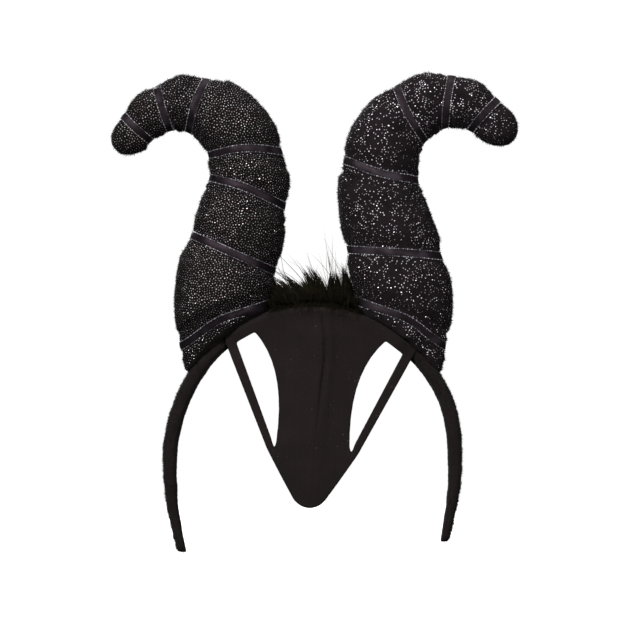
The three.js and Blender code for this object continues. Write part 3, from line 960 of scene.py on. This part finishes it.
# The rim lies flat on the hoop's face, turns over its top and has both ends pressed into the plush
RIM_FLAT, RIM_FLAT_HALF = 1.2 * MM, 17 * MM
RIM_FLAT_FROM, RIM_FLAT_TO = 55 * MM, 63 * MM
RIM_TOP, RIM_TURN, RIM_TURN_DEPTH = 67 * MM, 3.5 * MM, 7.5 * MM
RIM_TURN_MOST = 0.8
RIM_PRESS = 2.2 * MM
RIM_PRESS_FROM, RIM_PRESS_TO = 55 * MM, 64 * MM
RIM_ENDS_FROM, RIM_ENDS_TO = math.radians(33), math.radians(40)


def brow_panel(finish):
    panel = copy_solid("forehead_panel", "brow_panel")
    apply(panel, "REMESH", mode="VOXEL", voxel_size=PANEL_STEP)
    apply(panel, "SMOOTH", factor=0.5, iterations=5)
    points = points_of(panel)
    right, up = points[:, 0], points[:, 2] - ARCH_CENTRE[2]
    across = right * math.cos(PANEL_TILT) - up * math.sin(PANEL_TILT)
    height = right * math.sin(PANEL_TILT) + up * math.cos(PANEL_TILT)
    radius = np.hypot(across, height)
    # The pressed fold has a low ridge beside it
    from_fold = across - np.interp(height, FOLD_WAY[:, 0], FOLD_WAY[:, 1])
    fade = smooth_step(height, FOLD_FADES_TO, FOLD_FADES_FROM)
    fade *= 1 - smooth_step(height, FOLD_TOP_FROM, FOLD_TOP_TO)
    ridge = bell(from_fold - RIDGE_OFF, RIDGE_WIDTH) * (RIDGE_LEAST + (1 - RIDGE_LEAST) * fade)
    points[:, 1] += bell(from_fold, FOLD_WIDTH) * fade * FOLD_DEPTH - ridge * RIDGE_HEIGHT
    # The windows' feet
    aside, drop = np.abs(across) - WINDOW_ASIDE, height - WINDOW_FOOT
    sharpen = bell(aside, POINT_WIDTH) * bell(np.minimum(0, drop), POINT_RUN)
    points[:, 2] -= POINT_DEPTH * sharpen * (1 - smooth_step(drop, POINT_FADES_FROM, POINT_FADES_TO))
    # The rim's middle, its top and its ends
    middle = np.maximum(0, 1 - np.abs(across) / RIM_FLAT_HALF)
    points[:, 1] += RIM_FLAT * middle * smooth_step(height, RIM_FLAT_FROM, RIM_FLAT_TO)
    over = np.clip((radius - RIM_TOP) / RIM_TURN, 0, RIM_TURN_MOST)
    points[:, 1] += RIM_TURN_DEPTH * (1 - np.sqrt(1 - over ** 2))
    ends = smooth_step(np.abs(np.arctan2(across, height)), RIM_ENDS_FROM, RIM_ENDS_TO)
    points[:, 1] += RIM_PRESS * ends * smooth_step(radius, RIM_PRESS_FROM, RIM_PRESS_TO)
    move_points(panel, points)
    shade_smooth(panel)
    hand_over(panel, finish, "panel_fabric", "forehead_panel")


# The feather trim: tufts of barbs bound to a strip on the crown

STRAND_STEPS = 6
STRAND_TAPER = 0.85
# Places along the crown are degrees from the arch's top, to the right, and all sizes here are millimetres
TRIM_ENDS = (-16, 20)
DEGREE_ON_CROWN = 1.2
# How far each tuft reaches above the crown, from left to right
TUFTS = (7, 11, 17, 18, 12, 14, 11, 15, 19, 15, 16, 20, 15, 10, 7)
TUFT = {"strands": 140, "depth": (-3.2, 3.2), "rise": (-0.5, 2), "share": (0.4, 1.0), "thick": (0.36, 0.66)}
FLUFF = {"strands": 1300, "place": (-17, 21), "rise": (0.5, 4.5), "depth": (-6, 5.5), "length": (3.5, 7),
         "thick": (0.15, 0.36)}
LOCK = {"locks": 20, "place": (-12, 19), "strands": (4, 9), "rise": (3, 6), "reach": (13, 27),
        "thick": (0.24, 0.42)}
STRAY = {"strands": 34, "place": (-13, 19), "rise": (3, 8), "length": (12, 28), "thick": (0.2, 0.34)}
# The barbs over the panel's rim are partly a dark fringe that stands in for the tuft's shade there.
BARB = {"strands": 480, "place": TRIM_ENDS, "rise": (-0.8, 0.6), "depth": (-5.5, -3.5), "shortest": 3.8,
        "growth": 5.2, "thick": (0.15, 0.3)}
# How far strands lean to the right, by their place along the crown
TUFT_LEAN = (-16, 0, 20), (-1.0, -0.75, 0.0)
LOCK_LEAN = (-12, 4, 19), (-0.9, -0.35, 0.25)
STRAY_LEAN = (-13, 4, 19), (-1.0, -0.4, 0.25)


def on_crown(place, rise, depth):
    """A root over the hoop's crown, and the direction out of the arch there."""
    angle = math.radians(place)
    out = np.array([math.sin(angle), 0, math.cos(angle)])
    return ARCH_CENTRE + out * (ARCH_TOP_RADIUS + rise * MM) + np.array([0, depth * MM, 0]), out


class Feathers:
    """The trim's strands, gathered kind by kind for one mesh."""

    def __init__(self):
        self.draw = np.random.default_rng(57)
        self.paths, self.thickness = [], []

    def add(self, root, aim, length, bend, thick):
        part = np.linspace(0, 1, STRAND_STEPS)[:, None]
        self.paths.append(root + (aim * part + bend * part ** 2) * length * MM)
        self.thickness.append(thick * MM * (1 - STRAND_TAPER * part[:, 0] ** 1.5))

    def curl(self):
        """A random bend of a long strand."""
        draw = self.draw
        return np.array([draw.normal(-0.2, 0.35), draw.normal(0, 0.1), draw.normal(0.05, 0.2)])

    def tufts(self):
        """Thick tufts, which lean over and close up towards their tips."""
        draw = self.draw
        for place, reach in zip(np.linspace(*TRIM_ENDS, len(TUFTS)), TUFTS):
            place += draw.normal(0, 0.4)
            depth = draw.uniform(*TUFT["depth"])
            sweep = np.interp(place, *TUFT_LEAN) + draw.normal(0, 0.14)
            lean = np.array([sweep, depth * 0.05 + draw.normal(0, 0.14), draw.normal(0, 0.08)])
            for _ in range(TUFT["strands"]):
                slip, set_back = draw.normal(0, 0.95), draw.normal(0, 1.4)
                root, out = on_crown(place + slip, draw.uniform(*TUFT["rise"]), depth + set_back)
                share = draw.uniform(*TUFT["share"])
                close_up = np.array([-slip * DEGREE_ON_CROWN, -set_back * 0.95, 0]) / reach
                aim = unit(out + lean * 0.35 + draw.normal(0, 0.035, 3))
                bend = lean * 0.55 * share + close_up
                self.add(root, aim, reach * share, bend, draw.uniform(*TUFT["thick"]))

    def fluff(self):
        """Short fluff all round the tufts."""
        draw = self.draw
        for _ in range(FLUFF["strands"]):
            place, rise, depth = [draw.uniform(*FLUFF[key]) for key in ("place", "rise", "depth")]
            root, out = on_crown(place, rise, depth)
            aim = unit(out * draw.uniform(0.6, 1.2) + draw.normal(0, 0.45, 3))
            bend = np.array([draw.normal(-0.4, 0.3), draw.normal(0, 0.2), draw.normal(-0.1, 0.25)])
            self.add(root, aim, draw.uniform(*FLUFF["length"]), bend, draw.uniform(*FLUFF["thick"]))

    def locks(self):
        """Long wisps that stand out of the tufts in locks, whose strands part towards their tips."""
        draw = self.draw
        for place in np.linspace(*LOCK["place"], LOCK["locks"]):
            place += draw.normal(0, 0.8)
            depth = draw.normal(0, 2)
            lean = np.interp(place, *LOCK_LEAN) + draw.normal(0, 0.2)
            curl = self.curl()
            reach = draw.uniform(*LOCK["reach"])
            for _ in range(draw.integers(*LOCK["strands"])):
                slip, rise, set_back = draw.normal(0, 0.25), draw.uniform(*LOCK["rise"]), draw.normal(0, 0.3)
                root, out = on_crown(place + slip, rise, depth + set_back)
                aim = unit(out + np.array([lean + draw.normal(0, 0.06), draw.normal(0, 0.1), 0]))
                bend = curl + draw.normal(0, 0.1, 3)
                length = reach * (0.4 + 0.6 * draw.random() ** 1.5)
                self.add(root, aim, length, bend, draw.uniform(*LOCK["thick"]))

    def stray_hairs(self):
        """Single hairs that stray further."""
        draw = self.draw
        for _ in range(STRAY["strands"]):
            place = draw.uniform(*STRAY["place"])
            root, out = on_crown(place, draw.uniform(*STRAY["rise"]), draw.normal(0, 2))
            lean = np.interp(place, *STRAY_LEAN) + draw.normal(0, 0.25)
            aim = unit(out + np.array([lean, draw.normal(0, 0.15), 0]))
            bend = self.curl()
            self.add(root, aim, draw.uniform(*STRAY["length"]), bend, draw.uniform(*STRAY["thick"]))

    def barbs_for_rim_shade(self):
        """Short dark barbs that fall forward over the panel's rim: partly feathers and partly a dark fringe
        put where the tuft's shade falls on the rim.
        """
        draw = self.draw
        for _ in range(BARB["strands"]):
            place, rise, depth = [draw.uniform(*BARB[key]) for key in ("place", "rise", "depth")]
            root, out = on_crown(place, rise, depth)
            aim = out * 0.5 + np.array([draw.normal(-0.2, 0.25), -0.95, 0])
            bend = out * draw.normal(-1.07, 0.17) + np.array([draw.normal(-0.1, 0.2), -0.2, 0])
            length = BARB["shortest"] + BARB["growth"] * draw.random() ** 2
            self.add(root, aim, length, bend, draw.uniform(*BARB["thick"]))


def feather_trim(finish):
    feathers = Feathers()
    feathers.tufts()
    feathers.fluff()
    feathers.locks()
    feathers.stray_hairs()
    feathers.barbs_for_rim_shade()
    paths, thickness = np.array(feathers.paths), np.array(feathers.thickness)
    trim = make_strands("feather_tuft", paths, thickness, feathers.draw)
    hand_over(trim, finish, "feather", "feather_trim")


# The photograph's view, and a pale studio round it

FLOOR_LEVEL, FLOOR_RADIUS = -0.128, 0.9
# Name, place, width and power of each softbox, all turned to the headband
SOFTBOXES = (
    ("key", (-0.8, -1.3, 0.9), 0.5, 30),
    ("fill", (0.9, -1.4, 0.3), 0.5, 10.5),
    ("top", (0.1, 0.15, 1.4), 0.6, 7),
    ("rim", (-0.5, 1.3, 0.7), 0.5, 14),
)
WHITE, ROOM_GREY = (1, 1, 1, 1), (0.035, 0.035, 0.036, 1)
CAMERA_DISTANCE, CAMERA_ASIDE, CAMERA_LEVEL = 1.9, 0.0002, 0.003
# The photograph's width in pixels, and a pixel's size at the headband
PHOTO_WIDTH, PIXEL = 625, 0.47 * MM
SENSOR_WIDTH = 36


def pale_floor():
    bpy.ops.object.select_all(action="DESELECT")
    bpy.ops.mesh.primitive_circle_add(
        vertices=96, radius=FLOOR_RADIUS, fill_type="NGON", location=(0, 0, FLOOR_LEVEL)
    )
    floor = bpy.context.object
    floor.name = "floor"
    pale = Finish("pale_floor", Base_Color=(0.9, 0.9, 0.9, 1), Roughness=0.9)
    pale.set(Emission_Color=WHITE, Emission_Strength=0.7)
    floor.data.materials.append(pale.material)
    floor.visible_diffuse = floor.visible_glossy = False


def softbox(name, place, width, power):
    light = bpy.data.lights.new(name, "AREA")
    light.shape, light.size, light.energy = "DISK", width, power
    lamp = bpy.data.objects.new(name, light)
    lamp.location = place
    lamp.rotation_euler = (-Vector(place)).to_track_quat("-Z", "Y").to_euler()
    bpy.context.scene.collection.objects.link(lamp)


def dim_room():
    """A dim room, with white where the camera looks past the headband."""
    world = bpy.data.worlds.new("studio")
    bpy.context.scene.world = world
    world.use_nodes = True
    nodes, links = world.node_tree.nodes, world.node_tree.links
    seen, room = nodes["Background"], nodes.new("ShaderNodeBackground")
    seen.inputs["Color"].default_value = WHITE
    room.inputs["Color"].default_value = ROOM_GREY
    ray, mix = nodes.new("ShaderNodeLightPath"), nodes.new("ShaderNodeMixShader")
    links.new(ray.outputs["Is Camera Ray"], mix.inputs[0])
    links.new(room.outputs[0], mix.inputs[1])
    links.new(seen.outputs[0], mix.inputs[2])
    links.new(mix.outputs[0], nodes["World Output"].inputs["Surface"])


def front_camera():
    scene = bpy.context.scene
    camera = bpy.data.cameras.new("camera")
    camera.sensor_width = SENSOR_WIDTH
    camera.lens = SENSOR_WIDTH * CAMERA_DISTANCE / (PHOTO_WIDTH * PIXEL)
    camera.clip_end = 20
    view = bpy.data.objects.new("camera", camera)
    view.location = (CAMERA_ASIDE, -CAMERA_DISTANCE, CAMERA_LEVEL)
    view.rotation_euler = (math.radians(90), 0, 0)
    scene.collection.objects.link(view)
    scene.camera = view
    scene.view_settings.view_transform = "Standard"


# The whole headband

pale_floor()
for box in SOFTBOXES:
    softbox(*box)
dim_room()
front_camera()

# The silver thread's light colour is partly painted glints.
silver_thread = thread_finish("silver_thread", 0.6, dark=(0.09, 0.09, 0.11), light=(0.95, 0.95, 1.0))
black_thread = thread_finish("black_thread", 0, dark=(0.008, 0.007, 0.007), light=(0.02, 0.018, 0.018))

# The left horn's glitter is fine and close, and the right horn's coarser and sparser
# Painted sheen: each satin's bright colour is the lighter patch where its ribbon catches the light.
left_satin = satin_finish(
    "left_satin",
    dark=(0.006, 0.0042, 0.0046), light=(0.01, 0.0074, 0.009), bright=(0.0208, 0.0165, 0.0206),
)
left_velour = velour_finish("velour_fine", dark=(0.0048, 0.0031, 0.0032), light=(0.0094, 0.0064, 0.0067))
left_glitter = glitter_finish("glitter_fine", 0.45, dark=(0.185, 0.171, 0.177), light=(0.9, 0.865, 0.9))
left_horn = Horn("left", 7, "velour_fine", left_velour, shape_seed=11, dress_seed=111)
left_horn.dress(
    left_satin, silver_thread, black_thread, left_glitter,
    tries=80000, apart=0.97 * MM, rounds=12, kept=1, patchy=0, widths=(0.46 * MM, 0.6 * MM), tilt=0.15,
)
# Painted sheen: the bright colour is the lighter patch where the ribbon catches the light.
right_satin = satin_finish(
    "right_satin",
    dark=(0.0094, 0.0069, 0.0075), light=(0.0158, 0.012, 0.0143), bright=(0.0315, 0.0256, 0.0318),
)
right_velour = velour_finish("velour_bright", dark=(0.0064, 0.0043, 0.0049), light=(0.0169, 0.0119, 0.0141))
right_glitter = glitter_finish("glitter_bright", 0.43, dark=(0.45, 0.425, 0.445), light=(0.89, 0.86, 0.91))
right_horn = Horn("right", 6, "velour_bright", right_velour, shape_seed=12, dress_seed=112)
right_horn.dress(
    right_satin, silver_thread, black_thread, right_glitter,
    tries=70000, apart=0.93 * MM, rounds=2, kept=0.44, patchy=0.5, widths=(0.57 * MM, 0.74 * MM), tilt=0.18,
)
plush = velour_finish("hoop_plush", dark=(0.0086, 0.0059, 0.0057), light=(0.0174, 0.012, 0.0117), sheen=0.04)
plush_hoop(plush, black_thread)
brow_panel(panel_finish())
feather_trim(feather_finish())
